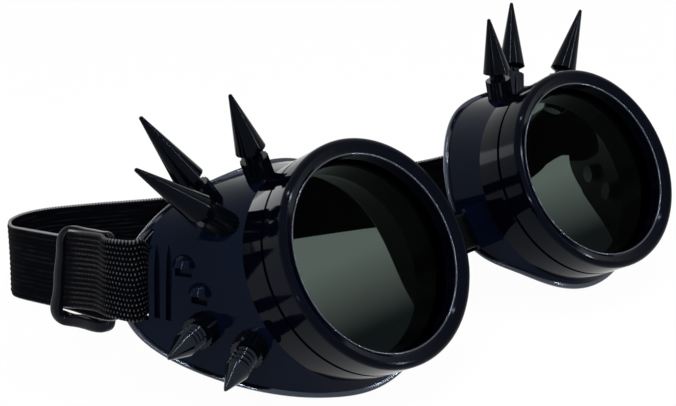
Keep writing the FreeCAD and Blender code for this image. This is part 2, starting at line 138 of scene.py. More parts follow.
def new_piece(name: str, points: np.ndarray, faces: np.ndarray, chart: Optional[np.ndarray] = None,
              caps: Sequence[Sequence[int]] = (), weld: bool = False) -> Piece:
    """Object at the origin from arrays of points and quads.

    Args:
        name: Name of the piece.
        points: Array of shape (n, 3), in metres.
        faces: Integer array of shape (m, 4), the corners anticlockwise seen from outside.
        chart: Array of shape (n, 2), the place of each point on the piece's own map.
        caps: Faces with more corners that close the ends.
        weld: Whether points that fall together, as at a pole, become one.

    Returns:
        The new object, smooth shaded.
    """
    mesh = bpy.data.meshes.new(name)
    mesh.from_pydata(points.reshape(-1, 3).tolist(), [], faces.tolist() + [list(cap) for cap in caps])
    if weld:
        work = bmesh.new()
        work.from_mesh(mesh)
        bmesh.ops.remove_doubles(work, verts=work.verts, dist=WELD_REACH)
        work.to_mesh(mesh)
        work.free()
    mesh.validate()
    mesh.update()
    if chart is not None:
        corner = np.zeros(len(mesh.loops), np.int32)
        mesh.loops.foreach_get("vertex_index", corner)
        layer = mesh.uv_layers.new(name="chart")
        layer.uv.foreach_set("vector", chart.reshape(-1, 2)[corner].astype(np.float32).ravel())
    mesh.polygons.foreach_set("use_smooth", np.ones(len(mesh.polygons), bool))
    piece = bpy.data.objects.new(name, mesh)
    bpy.context.scene.collection.objects.link(piece)
    return piece


def smooth_path(stations: np.ndarray, steps: int) -> np.ndarray:
    """Curve through stations, each span a blend of straight lines timed by the root of the span's length.

    Args:
        stations: Array of shape (n, k); its first three columns are the place.
        steps: Samples in each span.

    Returns:
        Array of shape ((n - 1) * steps + 1, k).
    """
    ends = np.vstack([2 * stations[:1] - stations[1:2], stations, 2 * stations[-1:] - stations[-2:-1]])
    gaps = np.sqrt(np.linalg.norm(np.diff(ends[:, :3], axis=0), axis=1))
    times = np.concatenate([[0.0], np.cumsum(gaps)])
    share = np.linspace(0, 1, steps, endpoint=False)
    p0, p1, p2, p3 = (ends[k:len(ends) - 3 + k, None, :] for k in range(4))
    t0, t1, t2, t3 = (times[k:len(times) - 3 + k, None, None] for k in range(4))
    now = t1 + (t2 - t1) * share[None, :, None]
    a1 = p0 * (t1 - now) / (t1 - t0) + p1 * (now - t0) / (t1 - t0)
    a2 = p1 * (t2 - now) / (t2 - t1) + p2 * (now - t1) / (t2 - t1)
    a3 = p2 * (t3 - now) / (t3 - t2) + p3 * (now - t2) / (t3 - t2)
    b1 = a1 * (t2 - now) / (t2 - t0) + a2 * (now - t0) / (t2 - t0)
    b2 = a2 * (t3 - now) / (t3 - t1) + a3 * (now - t1) / (t3 - t1)
    curve = b1 * (t2 - now) / (t2 - t1) + b2 * (now - t1) / (t2 - t1)
    return np.vstack([curve.reshape(-1, stations.shape[1]), stations[-1:]])


def closed_spline(knots: np.ndarray, values: np.ndarray, at: np.ndarray) -> np.ndarray:
    """Closed cubic curve through values, with even slope and curvature across each knot.

    Between two knots it is the straight line plus, for each end, its bend times the cube of the share less
    the share, times the span squared over six. The bends solve the rule that slopes agree at each knot.

    Args:
        knots: Increasing parameters from 0 to under 1, shape (n,).
        values: Rows to pass through, shape (n, k).
        at: Parameters from 0 to under 1 to read the curve at.

    Returns:
        Array of shape (len(at), k).
    """
    count = len(knots)
    after = np.append(knots[1:], knots[0] + 1.0)
    span = after - knots
    before = np.roll(span, 1)
    index = np.arange(count)
    system = np.zeros((count, count))
    system[index, (index - 1) % count] = before
    system[index, index] = 2 * (before + span)
    system[index, (index + 1) % count] = span
    rise = (np.roll(values, -1, axis=0) - values) / span[:, None]
    bends = np.linalg.solve(system, 6 * (rise - np.roll(rise, 1, axis=0)))
    place = np.searchsorted(knots, at, side="right") - 1
    near, far = place, (place + 1) % count
    left = ((after[place] - at) / span[place])[:, None]
    right = 1 - left
    width = (span[place] ** 2 / 6)[:, None]
    curve = left * values[near] + right * values[far]
    return curve + width * ((left ** 3 - left) * bends[near] + (right ** 3 - right) * bends[far])


def squared(turn: np.ndarray, power: float) -> Tuple[np.ndarray, np.ndarray]:
    """Cosine and sine of an angle, each raised to a power that keeps its sign, to square a section.

    Args:
        turn: Angles round the section.
        power: One for a round section, less for a squarer one.

    Returns:
        The two arrays.
    """
    first, second = np.cos(turn), np.sin(turn)
    return np.sign(first) * np.abs(first) ** power, np.sign(second) * np.abs(second) ** power


# Finishes


class Shader:
    """Small builder of one node material, with the places of a mix node's colour sockets."""

    mix_colours = (6, 7)
    mix_result = 2

    def __init__(self, name: str) -> None:
        """Makes a material with only a surface shader on its output.

        Args:
            name: Name of the material.
        """
        self.material = bpy.data.materials.new(name)
        self.material.use_nodes = True
        self.tree = self.material.node_tree
        self.surface = self.tree.nodes["Principled BSDF"]

    def node(self, kind: str, **settings: object) -> bpy.types.Node:
        """New node of a kind with its settings and socket values.

        Args:
            kind: Blender's name of the node type.
            settings: Node properties, or socket values with the socket's name.

        Returns:
            The node.
        """
        made = self.tree.nodes.new(kind)
        for key, value in settings.items():
            if hasattr(made, key):
                setattr(made, key, value)
            else:
                made.inputs[key.replace("_", " ")].default_value = value
        return made

    def link(self, source: Socket, target: Socket) -> None:
        """Joins two sockets."""
        self.tree.links.new(source, target)

    def put(self, **values: object) -> None:
        """Sets constants on the surface shader's own sockets."""
        for key, value in values.items():
            self.surface.inputs[key.replace("_", " ")].default_value = value

    def object_place(self) -> Socket:
        """Place on the piece, in metres."""
        return self.node("ShaderNodeTexCoord").outputs["Object"]

    def chart(self) -> Socket:
        """Place on the piece's own map."""
        return self.node("ShaderNodeTexCoord").outputs["UV"]

    def noise(self, place: Socket, scale: float, detail: float = 3.0) -> Socket:
        """Cloudy value between 0 and 1.

        Args:
            place: Where on the piece the value is read.
            scale: Clouds to the metre.
            detail: Layers of finer clouds.

        Returns:
            Socket of the value.
        """
        made = self.node("ShaderNodeTexNoise", Scale=scale, Detail=detail)
        self.link(place, made.inputs["Vector"])
        return made.outputs["Fac"]

    def ramp(self, value: Socket, low: float, high: float,
             to_low: float = 0.0, to_high: float = 1.0) -> Socket:
        """Value stretched from one range to another, and held inside it.

        Args:
            value: Socket of the value.
            low: Value that becomes to_low.
            high: Value that becomes to_high.
            to_low: Result at the low end.
            to_high: Result at the high end.

        Returns:
            Socket of the result.
        """
        made = self.node("ShaderNodeMapRange")
        for key, number in (("From Min", low), ("From Max", high), ("To Min", to_low), ("To Max", to_high)):
            made.inputs[key].default_value = number
        self.link(value, made.inputs["Value"])
        return made.outputs["Result"]

    def maths(self, action: str, first: object, second: object = 0.0) -> Socket:
        """Result of one sum.

        Args:
            action: Blender's name of the sum.
            first: First number or socket.
            second: Second number or socket, where the sum has one.

        Returns:
            Socket of the result.
        """
        made = self.node("ShaderNodeMath", operation=action)
        for socket, value in zip(made.inputs, (first, second)):
            if isinstance(value, Socket):
                self.link(value, socket)
            else:
                socket.default_value = value
        return made.outputs[0]

    def mixed(self, value: Socket, first: object, second: object) -> Socket:
        """Colour between two colours.

        Args:
            value: Socket of the second colour's share.
            first: First colour or socket.
            second: Second colour or socket.

        Returns:
            Socket of the colour.
        """
        made = self.node("ShaderNodeMix", data_type="RGBA")
        self.link(value, made.inputs["Factor"])
        for index, colour in zip(self.mix_colours, (first, second)):
            if isinstance(colour, Socket):
                self.link(colour, made.inputs[index])
            else:
                made.inputs[index].default_value = (*colour, 1.0)
        return made.outputs[self.mix_result]

    def bump(self, height: Socket, depth: float) -> None:
        """Shades the surface by a height map.

        Args:
            height: Socket of the height, from 0 to 1.
            depth: What a height of 1 stands for, in metres.
        """
        made = self.node("ShaderNodeBump", Strength=1.0, Distance=depth)
        self.link(height, made.inputs["Height"])
        self.link(made.outputs["Normal"], self.surface.inputs["Normal"])


@dataclass(frozen=True)
class Moulded:
    """Plastic, paint, rubber, steel or thread: two close colours in clouds, uneven gloss, a fine skin."""

    name: str
    colour: Colour
    second: Colour
    roughness: Range
    specular: float = 0.5
    metallic: float = 0.0
    sheen: Colour = (0.64, 0.77, 1.0)
    cloud_scale: float = 45.0
    skin_scale: float = 700.0
    skin_depth: float = 0.000003
    skin_detail: float = 2.0
    cloud_range: Range = (0.35, 0.65)
    cloud_wear: float = 0.7
    skin_wear: float = 0.3
    wear_range: Range = (0.3, 0.7)

    def material(self) -> Material:
        """Node material: the clouds set the colour, clouds and skin the gloss, and the skin the bump.

        Returns:
            The material.
        """
        made = Shader(self.name)
        place = made.object_place()
        clouds = made.noise(place, self.cloud_scale)
        skin = made.noise(place, self.skin_scale, self.skin_detail)
        colour = made.mixed(made.ramp(clouds, *self.cloud_range), self.colour, self.second)
        made.link(colour, made.surface.inputs["Base Color"])
        cloudy = made.maths("MULTIPLY", clouds, self.cloud_wear)
        wear = made.maths("ADD", cloudy, made.maths("MULTIPLY", skin, self.skin_wear))
        gloss = made.ramp(wear, *self.wear_range, *self.roughness)
        made.link(gloss, made.surface.inputs["Roughness"])
        made.bump(skin, self.skin_depth)
        made.put(Metallic=self.metallic, Specular_IOR_Level=self.specular, Specular_Tint=(*self.sheen, 1.0))
        return made.material


@dataclass(frozen=True)
class Tinted:
    """See-through lens, darker towards its lower edge as a painted shade on its tint."""

    name: str
    upper: Colour
    lower: Colour
    low: float
    high: float
    haze_scale: float = 90.0
    haze_share: float = 0.06
    polish_scale: float = 500.0
    roughness: Stretch = (0.3, 0.7, 0.0, 0.02)
    bending: float = 1.05
    specular: float = 0.5

    def material(self) -> Material:
        """Node material: the height sets a painted shade that darkens the tint towards the lower edge, a
        faint haze varies it, and a fine noise sets the polish.

        Returns:
            The material.
        """
        made = Shader(self.name)
        place = made.object_place()
        split = made.node("ShaderNodeSeparateXYZ")
        made.link(place, split.inputs["Vector"])
        # Darker towards the lower edge by height: a painted shade on the lens's tint.
        height = made.ramp(split.outputs["Z"], self.low, self.high)
        haze = made.maths("MULTIPLY", made.noise(place, self.haze_scale), self.haze_share)
        tint_and_shade = made.mixed(made.maths("ADD", height, haze), self.lower, self.upper)
        made.link(tint_and_shade, made.surface.inputs["Base Color"])
        gloss = made.ramp(made.noise(place, self.polish_scale), *self.roughness)
        made.link(gloss, made.surface.inputs["Roughness"])
        made.put(Transmission_Weight=1.0, IOR=self.bending, Specular_IOR_Level=self.specular)
        return made.material


@dataclass(frozen=True)
class Woven:
    """Ribbed elastic: rows of crossing threads between the ribs, on the band's own map in metres."""

    name: str
    colour: Colour
    # rib: colour of lighter broken lines along the ribs, a painted highlight of the rib relief.
    rib_highlight: Colour
    thread: Colour
    # edge: colour of a pale dotted line along the band's edge, a painted highlight.
    edge: Colour
    half_width: float
    rib_pitch: float
    thread_pitch: float
    show_from: float
    show_to: float
    fade: float
    row_shift: float = 0.37
    dot_wave: Range = (0.3, 0.95)
    dot_row: Range = (0.72, 0.99)
    # The line_ fields shape the painted highlight lines along the ribs.
    line_row: Range = (0.7, 0.98)
    line_stretch: float = 0.16
    line_scale: float = 900.0
    line_detail: float = 2.0
    line_breaks: Range = (0.42, 0.62)
    fibre_scale: float = 2600.0
    fibre_detail: float = 4.0
    thread_shown: Stretch = (0.36, 0.62, 0.08, 1.0)
    # edge_depths, edge_beat and edge_taut place the painted edge highlight.
    edge_depths: Range = (0.0005, 0.0002)
    edge_beat: Stretch = (-0.6, 0.6, 0.15, 1.0)
    edge_taut: float = 0.3
    roughness: Stretch = (0.3, 0.7, 0.6, 0.9)
    dot_height: float = 0.8
    fibre_height: float = 0.5
    relief: float = 0.00012
    specular: float = 0.01

    def material(self) -> Material:
        """Node material of the woven band.

        Lighter broken lines follow the ribs as a painted highlight of their relief, crossing threads show
        where the band is stretched between two runs, and a pale dotted line along the edge is a painted
        highlight.

        Returns:
            The material.
        """
        made = Shader(self.name)
        chart = made.chart()
        split = made.node("ShaderNodeSeparateXYZ")
        made.link(chart, split.inputs["Vector"])
        along, across = split.outputs["X"], split.outputs["Y"]
        row = made.maths("DIVIDE", across, self.rib_pitch)
        shift = made.maths("MULTIPLY", made.maths("FLOOR", row), self.row_shift)
        beat = made.maths("ADD", made.maths("DIVIDE", along, self.thread_pitch), shift)
        wave = made.maths("SINE", made.maths("MULTIPLY", beat, 2 * math.pi))
        middle = made.maths("SINE", made.maths("MULTIPLY", made.maths("FRACT", row), math.pi))
        dots = made.maths("MULTIPLY", made.ramp(wave, *self.dot_wave), made.ramp(middle, *self.dot_row))
        rise = made.ramp(along, self.show_from - self.fade, self.show_from)
        fall = made.ramp(along, self.show_to, self.show_to + self.fade, 1.0, 0.0)
        taut = made.maths("MULTIPLY", rise, fall)
        fibre = made.noise(chart, self.fibre_scale, self.fibre_detail)
        drawn = made.node("ShaderNodeMapping", Scale=(self.line_stretch, 1.0, 1.0))
        made.link(chart, drawn.inputs["Vector"])
        rib_highlight_breaks = made.noise(drawn.outputs["Vector"], self.line_scale, self.line_detail)
        broken = made.ramp(rib_highlight_breaks, *self.line_breaks)
        line = made.maths("MULTIPLY", made.ramp(middle, *self.line_row), broken)
        # Lighter broken lines along the middle of each rib row: a painted highlight of the rib relief.
        ribbed = made.mixed(line, self.colour, self.rib_highlight)
        shown = made.maths("MULTIPLY", dots, made.ramp(fibre, *self.thread_shown))
        crossed = made.mixed(shown, self.colour, self.thread)
        body = made.mixed(taut, ribbed, crossed)
        # Pale dotted line along the band's edge, fainter where the band is stretched: a painted highlight.
        inner, outer = (self.half_width - depth for depth in self.edge_depths)
        edge = made.ramp(made.maths("ABSOLUTE", across), inner, outer)
        painted_edge_highlight = made.maths("MULTIPLY", edge, made.ramp(wave, *self.edge_beat))
        painted_edge_highlight = made.maths("MULTIPLY", painted_edge_highlight, made.ramp(taut, 0.0, 1.0, 1.0, self.edge_taut))
        made.link(made.mixed(painted_edge_highlight, body, self.edge), made.surface.inputs["Base Color"])
        made.link(made.ramp(fibre, *self.roughness), made.surface.inputs["Roughness"])
        raised = made.maths("MULTIPLY", dots, self.dot_height)
        fuzz = made.maths("MULTIPLY", fibre, self.fibre_height)
        made.bump(made.maths("ADD", raised, fuzz), self.relief)
        made.put(Specular_IOR_Level=self.specular)
        return made.material


def dress(node: str, material: Material) -> None:
    """Gives a CAD node one material in place of its own.

    Args:
        node: Name of the node.
        material: Its new material.
    """
    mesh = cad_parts[node].data
    mesh.materials.clear()
    mesh.materials.append(material)


# Sub-assemblies


@dataclass
class EyeCup:
    """One eye: the CAD cup, ring, lens, spikes and studs, with a rim trim, an opening lip and a thread.

    A row of rim_shares is a turn in degrees and the rim's shares of the reach and the depth there.
    """

    side: Side
    finishes: Dict[str, Material]
    spacing: float = 85.3
    toe_in: float = 2.5
    rest_tilt: float = 31.5
    middle: Triple = (0.0, -52.458, 36.65)
    reach: float = 48.2
    depth: float = 48.2
    trim_width: float = 3.37
    trim_depth: float = 1.6
    trim_power: float = 0.55
    notch_inset: float = 2.0
    notch_turns: Range = (46.0, 98.0)
    notch_power: float = 0.5
    turns: int = 360
    section: int = 20
    lip_radius: float = 25.3
    lip_round: float = 0.3
    lip_front: float = 0.12
    barrel_radius: float = 26.6
    thread_height: float = 0.25
    thread_half: float = 0.7
    thread_start: float = 8.4
    thread_pitch: float = 3.0
    thread_turns: float = 2.0
    thread_steps: int = 241
    thread_rise: float = 8.0
    thread_least: float = 0.05
    node_finishes: Tuple[Tuple[str, str], ...] = (
        ("eye_cup", "cup"), ("lens_ring", "ring"), ("lens", "lens"), ("lens_gasket", "gasket"),
        ("upper_spike", "spike"), ("middle_spike", "spike"), ("outer_spike", "spike"),
        ("rear_stud", "stud"), ("front_stud", "stud"), ("spike_collars", "collar"),
        ("stud_collars", "collar"), ("spike_screws", "screw"),
    )
    rim_shares: Tuple[Triple, ...] = (
        (0, 0.706, 0.650), (22, 0.749, 0.688), (40, 0.850, 0.716), (54, 0.954, 0.736),
        (62, 1.000, 0.793), (71, 0.979, 0.925), (81, 0.917, 1.000), (93, 0.846, 0.946),
        (108, 0.774, 0.799), (124, 0.726, 0.633), (138, 0.697, 0.508), (153, 0.672, 0.425),
        (180, 0.655, 0.386), (200, 0.649, 0.370), (217, 0.649, 0.370), (233, 0.653, 0.419),
        (245, 0.659, 0.508), (258, 0.664, 0.570), (275, 0.664, 0.591), (300, 0.674, 0.589),
        (320, 0.693, 0.611), (340, 0.710, 0.641),
    )

    def placed(self, points: np.ndarray) -> np.ndarray:
        """Points of the cup's own frame set in the assembly: toed in, set apart, mirrored, tipped back.

        Args:
            points: Array of shape (..., 3), in millimetres.

        Returns:
            Array of the same shape, in metres.
        """
        toe = np.radians(-self.toe_in)
        tip = np.radians(-self.rest_tilt)
        x = points[..., 0] * np.cos(toe) - points[..., 1] * np.sin(toe) + self.spacing / 2
        y = points[..., 0] * np.sin(toe) + points[..., 1] * np.cos(toe)
        z = points[..., 2]
        back = y * np.cos(tip) - z * np.sin(tip)
        high = y * np.sin(tip) + z * np.cos(tip)
        return (np.stack([x * self.side.value, back, high], axis=-1) + np.array(self.middle)) * MM

    def trim_piece(self) -> Piece:
        """Soft trim: a rounded box section carried along the rim, drawn in a little where the strap passes.

        The rim is a closed cubic curve through points at turn, reach and depth. At section angle a the
        inset from the rim is half the width times (1 + c) and the way forward half the depth times (1 + s),
        with c and s the cosine and sine of a raised to a power below one, which squares the section.

        Returns:
            The trim, riding on its cup.
        """
        rows = np.array(self.rim_shares, float)
        angle = np.radians(rows[:, 0])
        rim = np.stack([self.reach * rows[:, 1] * np.sin(angle), self.depth * rows[:, 2],
                        self.reach * rows[:, 1] * np.cos(angle)], axis=1)
        at = np.arange(self.turns) / self.turns
        curve = closed_spline(rows[:, 0] / FULL_TURN, rim, at)
        radius = np.hypot(curve[:, 0], curve[:, 2])
        start, stop = self.notch_turns
        inside = np.clip((at * FULL_TURN - start) / (stop - start), 0, 1)
        drawn = np.sin(np.pi * inside) ** self.notch_power
        width = self.trim_width - (self.trim_width - self.notch_inset) * drawn
        turn = np.linspace(0, 2 * np.pi, self.section, endpoint=False)
        inward, forward = squared(turn, self.trim_power)
        inset = width[:, None] / 2 * (1 + inward)
        share = 1 - inset / radius[:, None]
        ahead = np.broadcast_to(self.trim_depth / 2 * (1 + forward), inset.shape)
        points = np.stack([curve[:, :1] * share, curve[:, 1:2] - ahead, curve[:, 2:] * share], axis=-1)
        faces = grid_faces(self.turns, self.section, True, True)
        if self.side is Side.RIGHT:
            faces = faces[:, ::-1]
        piece = new_piece(self.side.word + "_rim_trim", self.placed(points), faces)
        piece.data.materials.append(self.finishes["trim"])
        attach(piece, self.side.word + "_cup")
        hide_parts(self.side.word + "_face_trim")
        return piece

    def opening_lip(self) -> Piece:
        """Pale, glossy bead round the opening, a painted highlight of the ring's inner edge: a small circle
        carried round the lens axis.

        At turn t and section angle a the radius is the lip's own plus its thickness times the sine of a,
        and the depth its thickness times the cosine of a.

        Returns:
            The bead, riding on its ring.
        """
        turn = np.linspace(0, 2 * np.pi, self.turns, endpoint=False)[:, None]
        bend = np.linspace(0, 2 * np.pi, self.section, endpoint=False)[None, :]
        radius = self.lip_radius + self.lip_round * np.sin(bend)
        depth = np.broadcast_to(self.lip_round * np.cos(bend) - self.lip_front, (self.turns, self.section))
        points = np.stack([radius * np.sin(turn), depth, radius * np.cos(turn)], axis=-1)
        faces = grid_faces(self.turns, self.section, True, True)
        if self.side is Side.LEFT:
            faces = faces[:, ::-1]
        piece = new_piece(self.side.word + "_opening_highlight_lip", self.placed(points), faces)
        # The bead's paler colour and high gloss are a painted highlight on the ring's inner edge.
        piece.data.materials.append(self.finishes["lip"])
        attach(piece, self.side.word + "_ring")
        return piece

    def barrel_thread(self) -> Piece:
        """Screw thread on the barrel: a low ridge wound round the lens axis.

        At turn t the ridge lies back by the pitch times t over a full turn, and its crest fades almost to
        nothing at both ends by a sine of the share of the way. The section is a flat ellipse, half sunk.

        Returns:
            The ridge, riding on its cup.
        """
        share = np.linspace(0, 1, self.thread_steps)[:, None]
        turn = share * 2 * np.pi * self.thread_turns
        bend = np.linspace(0, 2 * np.pi, self.section, endpoint=False)[None, :]
        fade = np.clip(np.sin(np.pi * share) * self.thread_rise, self.thread_least, 1)
        radius = self.barrel_radius + self.thread_height * np.sin(bend) * fade
        lead = self.thread_start + self.thread_pitch * share * self.thread_turns
        depth = lead + self.thread_half * np.cos(bend)
        points = np.stack([radius * np.sin(turn), depth, radius * np.cos(turn)], axis=-1)
        faces = grid_faces(self.thread_steps, self.section, False, True)
        caps = end_caps(self.thread_steps, self.section)
        if self.side is Side.LEFT:
            faces, caps = flipped(faces, caps)
        piece = new_piece(self.side.word + "_barrel_thread", self.placed(points), faces, caps=caps)
        piece.data.materials.append(self.finishes["cup"])
        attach(piece, self.side.word + "_cup")
        return piece

    def build(self) -> List[Piece]:
        """Dresses the CAD nodes of this eye and makes its trim, opening lip and thread.

        Returns:
            The three new pieces.
        """
        for node, finish in self.node_finishes:
            dress(self.side.word + "_" + node, self.finishes[finish])
        return [self.trim_piece(), self.opening_lip(), self.barrel_thread()]


@dataclass
class NoseLink:
    """Soft link between the nose lugs, with a bead at each end."""

    finishes: Dict[str, Material]
    centre: Triple = (0.0, -35.457, 22.713)
    rise: Triple = (0.0, 0.5225, 0.8526)
    half_span: float = 10.369
    bead: float = 2.2
    neck: float = 1.0
    belly: float = 1.7
    belly_reach: float = 6.0
    height: float = 10.0
    face_power: float = 0.8
    edge_power: float = 0.35
    steps: int = 121
    section: int = 32

    def build(self) -> List[Piece]:
        """Makes the link: a squared section carried along X.

        Its half thickness is the largest of two round beads, a plain neck and a belly that swells by a
        raised cosine in the middle. Its ends close on the beads' rounds.

        Returns:
            The link, riding on the left cup.
        """
        reach = self.half_span + self.bead
        along = -reach * np.cos(np.linspace(0, np.pi, self.steps))
        rounds = np.sqrt(np.clip(self.bead ** 2 - (np.abs(along) - self.half_span) ** 2, 0, None))
        swell = 0.5 + 0.5 * np.cos(np.pi * np.clip(along / self.belly_reach, -1, 1))
        link = np.where(np.abs(along) < self.half_span, self.neck + (self.belly - self.neck) * swell, 0)
        thick = np.maximum(rounds, link)
        turn = np.linspace(0, 2 * np.pi, self.section, endpoint=False)
        across = squared(turn, self.face_power)[0]
        upward = squared(turn, self.edge_power)[1]
        rise = np.array(self.rise)
        deep = np.cross(rise, (1.0, 0.0, 0.0))
        points = along[:, None, None] * np.array([1.0, 0.0, 0.0])
        points = points + (thick[:, None] * across)[..., None] * deep
        points = points + (self.height / 2 * upward)[None, :, None] * rise
        points = (points + np.array(self.centre)) * MM
        faces = grid_faces(self.steps, self.section, False, True)[:, ::-1]
        piece = new_piece("nose_link", points, faces, weld=True)
        piece.data.materials.append(self.finishes["bridge"])
        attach(piece, "left_cup")
        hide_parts("nose_bridge")
        return [piece]


@dataclass
class HeadStrap:
    """Ribbed elastic head strap, in at each cup's slot and doubled behind the slider, and its sewing.

    A station is a place on the middle line and the band's upright direction there.
    """

    finishes: Dict[str, Material]
    width: float = 20.8
    thickness: float = 1.5
    ribs: int = 13
    thread_rows: int = 16
    rib_depth: float = 0.22
    rib_points: int = 6
    edge_points: int = 5
    steps: int = 14
    blend_reach: float = 55.0
    stitch_places: Tuple[float, ...] = (69.0, 72.0)
    stitch_count: int = 9
    stitch_half: float = 0.75
    stitch_radius: float = 0.2
    stitch_points: int = 10
    slot_station: float = 4.25
    stations: Tuple[Tuple[float, ...], ...] = (
        (-87.1, 20.2, 24.0, 0.18, 0.0, 1.03), (-88.6, 2.0, 29.0, 0.17, 0.0, 0.98),
        (-91.8, -8.7, 31.8, 0.07, -0.02, 1.0), (-88.3, -13.8, 31.3, 0.07, -0.02, 1.04),
        (-86.3, -14.2, 31.3, 0.07, -0.02, 1.04), (-80.9, -10.2, 28.6, 0.05, -0.02, 0.7),
        (-80.5, -8.3, 28.1, 0.05, -0.02, 0.7), (-84.1, -3.2, 26.0, 0.05, -0.02, 0.7),
        (-83.0, 2.0, 24.4, 0.17, 0.0, 0.98), (-84.9, 24.2, 21.0, 0.17, 0.0, 0.98),
        (-86.8, 46.4, 17.7, 0.17, 0.0, 0.98), (-85.5, 52.9, 16.1, 0.12, 0.0, 0.99),
        (-82.7, 59.0, 14.5, 0.06, 0.0, 1.0), (-78.8, 64.6, 13.5, 0.0, 0.0, 1.0),
        (-72.9, 67.9, 12.8, 0.0, 0.0, 1.0), (-66.1, 67.9, 12.3, 0.0, 0.0, 1.0),
        (-53.5, 62.3, 11.9, 0.0, 0.0, 1.0), (-35.5, 51.9, 11.5, 0.0, 0.0, 1.0),
        (-16.5, 43.9, 11.3, 0.0, 0.0, 1.0), (2.9, 36.5, 11.3, 0.0, 0.0, 1.0),
        (21.4, 27.2, 11.7, 0.0, 0.0, 1.0), (38.7, 15.8, 12.9, 0.0, 0.0, 1.0),
        (50.6, 9.2, 14.8, 0.0, 0.0, 1.0), (63.0, 4.3, 18.3, 0.0, 0.0, 1.0),
        (74.8, 0.3, 22.1, 0.0, 0.0, 1.0), (81.0, -1.3, 24.6, 0.0, 0.0, 1.0),
        (86.3, -2.2, 26.5, 0.0, 0.0, 1.0), (89.4, -3.8, 27.8, 0.0, 0.0, 1.0),
        (90.2, -5.9, 28.2, 0.0, 0.0, 1.0), (91.8, -8.7, 31.0, -0.07, -0.02, 1.0),
        (88.3, -13.8, 31.3, -0.07, -0.02, 1.0), (86.3, -14.2, 31.3, -0.07, -0.02, 1.0),
        (80.9, -10.2, 28.6, -0.05, -0.02, 0.7), (80.5, -8.3, 28.1, -0.05, -0.02, 0.7),
        (84.1, -3.2, 26.0, -0.05, -0.02, 0.7), (79.0, -4.3, 26.3, 0.0, 0.0, 1.0),
        (73.4, -2.7, 22.9, 0.0, 0.0, 1.0), (66.0, -0.3, 20.1, 0.0, 0.0, 1.0),
    )
    path: np.ndarray = field(init=False)
    level: np.ndarray = field(init=False)
    run: np.ndarray = field(init=False)
    slot_row: int = field(init=False)

    def __post_init__(self) -> None:
        """Works out the middle line, the level direction across the band and the length along it."""
        self.path = smooth_path(np.array(self.stations), self.steps)
        ahead = np.gradient(self.path[:, :3], axis=0)
        flat = np.stack([ahead[:, 1], -ahead[:, 0], np.zeros(len(ahead))], axis=1)
        self.level = unit(flat)
        pace = np.linalg.norm(np.diff(self.path[:, :3], axis=0), axis=1)
        self.run = np.concatenate([[0.0], np.cumsum(pace)])
        self.slot_row = round(self.slot_station * self.steps)

    def outline(self) -> Tuple[np.ndarray, np.ndarray]:
        """Closed section of the band: two ribbed faces joined by round edges.

        On a face the stand is half the thickness less a raised cosine that dips between the ribs.

        Returns:
            Arrays of the height share from -1 to 1 and of the stand in millimetres, round the section.
        """
        height = np.linspace(1, -1, self.ribs * self.rib_points + 1) * (1 - self.thickness / self.width)
        dip = self.rib_depth * (0.5 + 0.5 * np.cos(2 * np.pi * self.ribs * np.linspace(0, 1, len(height))))
        stand = self.thickness / 2 - dip
        bend = np.linspace(0, np.pi, self.edge_points + 2)[1:-1]
        edge = self.thickness / self.width * np.sin(bend)
        low = stand[-1] * np.cos(bend)
        inner = 1 - self.thickness / self.width
        heights = np.concatenate([height, -inner - edge, height[::-1], inner + edge])
        stands = np.concatenate([stand, low, -stand, -low])
        return heights, stands

    def stretch(self, name: str, part: slice) -> Piece:
        """One stretch of the strap: the ribbed section carried along the middle line, its map in metres.

        Args:
            name: Name of the piece.
            part: Rows of the middle line that the stretch follows.

        Returns:
            The stretch, which still has to be tied to its bodies.
        """
        heights, stands = self.outline()
        path = self.path[part]
        points = path[:, None, :3] + heights[None, :, None] * path[:, None, 3:] * self.width / 2
        points = points + stands[None, :, None] * self.level[part][:, None, :]
        across = heights[None, :] * self.width / 2
        chart = np.stack(np.broadcast_arrays(self.run[part][:, None], across), axis=-1)
        rows, columns = points.shape[:2]
        faces, caps = flipped(grid_faces(rows, columns, False, True), end_caps(rows, columns))
        piece = new_piece(name, points * MM, faces, chart * MM, caps)
        piece.data.materials.append(self.finishes["strap"])
        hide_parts("strap")
        return piece

    def tail(self) -> Piece:
        """Loose outer layer, from the right slot to the slider, which draws its end along.

        Returns:
            The tail.
        """
        piece = self.stretch("strap_tail", slice(0, self.slot_row + 1))
        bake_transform(piece)
        return piece

    def band(self) -> Piece:
        """The rest of the strap, from the right slot round to the sewn end at the left.

        Returns:
            The band.
        """
        piece = self.stretch("strap_band", slice(self.slot_row, None))
        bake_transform(piece)
        return piece

